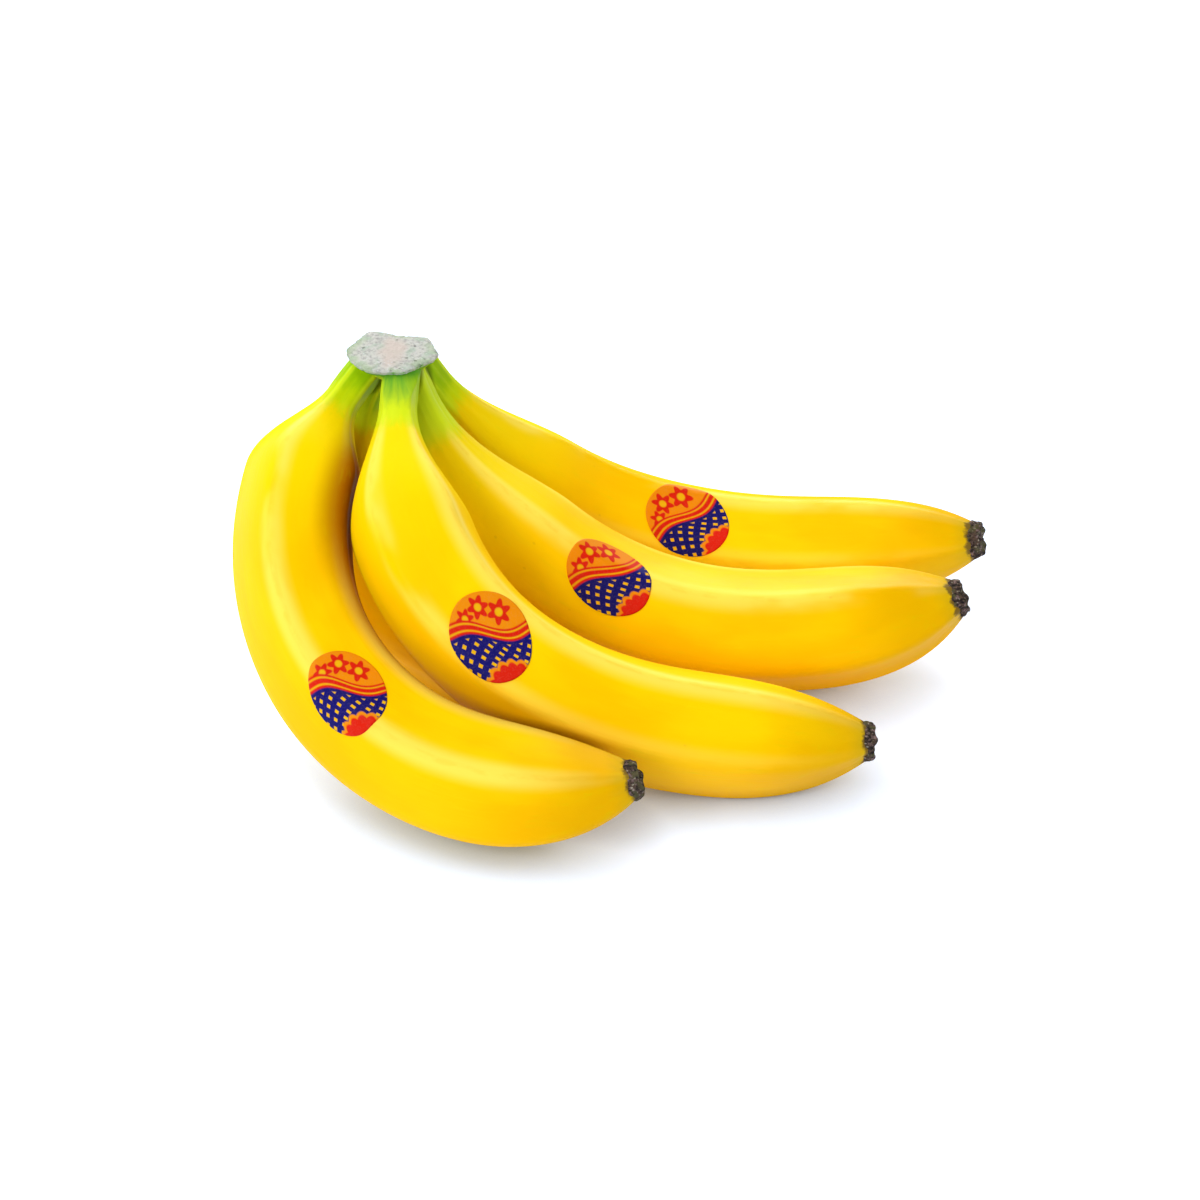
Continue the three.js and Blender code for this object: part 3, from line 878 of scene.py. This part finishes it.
# How far out along the tip's line, and how far from it, the husk's section runs.
HUSK_PROFILE = [
    (-0.9, 5.5), (-0.5, 6.0), (0.0, 6.35), (0.5, 6.45), (0.9, 6.35), (1.3, 6.2), (1.7, 6.05),
    (2.1, 5.95), (2.5, 5.85), (2.9, 5.75), (3.3, 5.6), (3.6, 5.35), (3.75, 5.0), (3.6, 4.5),
    (3.3, 4.0), (3.0, 3.4), (2.8, 2.7), (2.7, 2.0), (2.8, 1.3), (3.0, 0.6),
]
HUSK_SIDES = 120
HUSK_SHARE = 0.955  # of the profile's girth
# The angle round each tip, from the hollow side, of the husk's longest flake.
HUSK_FLAKES = [2.6, -0.5, 0.3, -0.6, 1.2]
HUSK_START, HUSK_END = -0.7, 4.0  # the middles of its ends, out along the tip's line
HUSK_GRAIN_APART = 50  # between the grains of one husk and the next


def husk_points(index):
    """A ragged, folded cup, in the tip's frame: to the hollow side, across and out."""
    angle = np.linspace(0, math.tau, HUSK_SIDES, endpoint=False)
    rng = np.random.default_rng(40 + index)

    def ragged(counts, high):
        """Random waves round the husk, of the given counts and total height."""
        return sum(high / len(counts) * np.sin(n * angle + rng.uniform(0, PHASES)) for n in counts)

    lip = ragged((2, 3, 5, 7), 1.0)
    folds = ragged((5, 8, 13, 19), 0.4)
    off = (angle - HUSK_FLAKES[index] + math.pi) % math.tau - math.pi
    flake = 0.9 * np.exp(-(off / 0.45) ** 2)
    edge = ragged((3, 5, 8), 0.6)
    points = []
    for out, reach in HUSK_PROFILE:
        far = smooth(out, 1.0, 3.7)
        crisp = smooth(reach, 0.5, 4.5)
        z = out + (lip * 0.9 - 0.75 + flake) * far * crisp
        z = z + (edge - 0.2) * smooth(out, 1.2, 0) * crisp
        r = (reach * (1 + 0.02 * lip) + folds * (0.35 + 0.65 * far) * crisp) * HUSK_SHARE
        points.append(np.stack([r * np.cos(angle), r * np.sin(angle), z], -1))
    points = np.array(points)
    flat = points.reshape(-1, 3)
    bumps = lumps(flat, 0.7, 20 + index) * 0.4 + lumps(flat, 1.6, 30 + index) * 0.25
    points[..., :2] *= (1 + bumps.reshape(points.shape[:2]) / 6)[..., None]
    return points


def build_blossom(index):
    """The dry husk at a tip."""
    points = husk_points(index)
    middle = fingers[index].middle(1.0)
    way, hollow, across = fingers[index].frame(1.0)
    placed = (middle + points[..., 0:1] * hollow + points[..., 1:2] * across
              + points[..., 2:3] * way)
    placed = closed(placed, middle + way * HUSK_START, middle + way * HUSK_END)
    grain = closed(points, (0, 0, HUSK_START), (0, 0, HUSK_END)) + index * HUSK_GRAIN_APART
    mesh_object(f"blossom_{index + 1}_husk", placed, tube_faces(*points.shape[:2]), BLOSSOM,
                f"blossom_end_{index + 1}", {}, {"grain": grain})


LABEL_SIDES = 96
LABEL_PROBE = 0.0125  # the step that measures how long the skin is there


def build_label(number, index, along, facing):
    """A thin oval that follows the skin under it."""
    finger = fingers[index]
    facing, turn = math.radians(facing), math.radians(LABEL_TURN)
    sides = LABEL_SIDES
    shares = np.concatenate([np.linspace(0.04, 0.97, 26), [1.0]])
    around = np.linspace(0, math.tau, sides, endpoint=False)
    before, after = (finger.point(along + step, np.array(facing))
                     for step in (-LABEL_PROBE, LABEL_PROBE))
    stretch = np.linalg.norm(after - before) / (2 * LABEL_PROBE)
    radius = finger.girth(along)
    share, way = np.meshgrid(np.append(shares, [1.004, 0.9]), around, indexing="ij")
    lift = np.full(share.shape, LABEL_TOP)
    lift[-3], lift[-2], lift[-1] = 0.26, -0.05, -0.2
    far = share * LABEL_LONG * np.cos(way) / 2
    off = share * LABEL_WIDE * np.sin(way) / 2
    forward = far * math.cos(turn) - off * math.sin(turn)
    round_it = far * math.sin(turn) + off * math.cos(turn)
    points = finger.point(along + forward / stretch, facing + round_it / radius, lift)
    middle = finger.point(np.array(along), np.array(facing))
    out = middle - finger.middle(along)
    out /= np.linalg.norm(out)
    u, v = share * np.sin(way), -share * np.cos(way)
    grain = np.stack([u * LABEL_WIDE / 2, v * LABEL_LONG / 2, lift], -1)
    faces = tube_faces(share.shape[0], sides)
    points = closed(points, middle + out * LABEL_TOP, middle - out * 0.2)
    mesh_object(f"label_{number}", points, faces, LABEL, f"sticker_{number}",
                {"u": with_ends(u, 0, 0), "v": with_ends(v, 0, 0)},
                {"grain": closed(grain, (0, 0, 0), (0, 0, 0))})


for index in range(len(fingers)):
    build_finger(index)
    build_blossom(index)
build_crown()
for number, (index, along, facing) in enumerate(LABELS, 1):
    build_label(number, index, along, facing)


# -------------------------------------------------------------------- studio

AIM = (0, 0, 0.04)
# Each light's name, place, size and power.
LIGHTS = [
    ("back", (-0.1, 1.4, 0.7), (1.3, 0.5), 18.5),
    ("front", (-0.8, -1.15, 0.9), (0.8, 0.8), 11.3),
    ("left", (-0.85, -0.1, 1.0), (1.7, 0.25), 6),
    ("top", (-0.35, -0.1, 1.25), (1.4, 0.2), 5),
    ("right", (1.3, 0.0, 0.8), (0.8, 0.8), 7),
]
LENS = 78.24
SENSOR = 36
CAMERA_TILT = math.radians(34)
CAMERA_AWAY = 0.8
CAMERA_TARGET = Vector((-0.0068, -0.0098, 0.045))


def flat_plane(name, size, z, material):
    """A level square, twice the size across."""
    data = bpy.data.meshes.new(name)
    corners = [(-size, -size, z), (size, -size, z), (size, size, z), (-size, size, z)]
    data.from_pydata(corners, [], [(0, 1, 2, 3)])
    data.materials.append(material)
    plane = bpy.data.objects.new(name, data)
    bpy.context.scene.collection.objects.link(plane)
    return plane


flat_plane("floor", 6.0, 0.0, FLOOR)

# The surroundings are bright overhead and dim at the horizon.
world = bpy.data.worlds.new("studio")
world.use_nodes = True
nodes, links = world.node_tree.nodes, world.node_tree.links
split = nodes.new("ShaderNodeSeparateXYZ")
links.new(nodes.new("ShaderNodeTexCoord").outputs["Generated"], split.inputs[0])
fade = nodes.new("ShaderNodeMapRange")
fade.interpolation_type = "SMOOTHSTEP"
for key, value in {"From Min": 0.1, "From Max": 0.7, "To Min": 0.1, "To Max": 0.28}.items():
    fade.inputs[key].default_value = value
links.new(split.outputs["Z"], fade.inputs["Value"])
links.new(fade.outputs["Result"], nodes["Background"].inputs["Strength"])
nodes["Background"].inputs["Color"].default_value = (1, 1, 1, 1)
bpy.context.scene.world = world


def soft_light(name, place, size, power):
    """A rectangular light that faces the bunch."""
    light = bpy.data.lights.new(name, "AREA")
    light.shape = "RECTANGLE"
    light.size, light.size_y = size
    light.energy = power
    lamp = bpy.data.objects.new(name, light)
    lamp.location = place
    lamp.visible_camera = False
    aim = Vector(AIM) - Vector(place)
    lamp.rotation_euler = aim.to_track_quat("-Z", "Y").to_euler()
    bpy.context.scene.collection.objects.link(lamp)


for row in LIGHTS:
    soft_light(*row)

camera = bpy.data.cameras.new("camera")
camera.lens = LENS
camera.sensor_width = SENSOR
camera.clip_start, camera.clip_end = 0.05, 50
eye = bpy.data.objects.new("camera", camera)
back_up = Vector((0, -math.cos(CAMERA_TILT), math.sin(CAMERA_TILT)))
eye.location = CAMERA_TARGET + CAMERA_AWAY * back_up
eye.rotation_euler = (math.pi / 2 - CAMERA_TILT, 0, 0)
bpy.context.scene.collection.objects.link(eye)
bpy.context.scene.camera = eye
bpy.context.scene.view_settings.view_transform = "Standard"
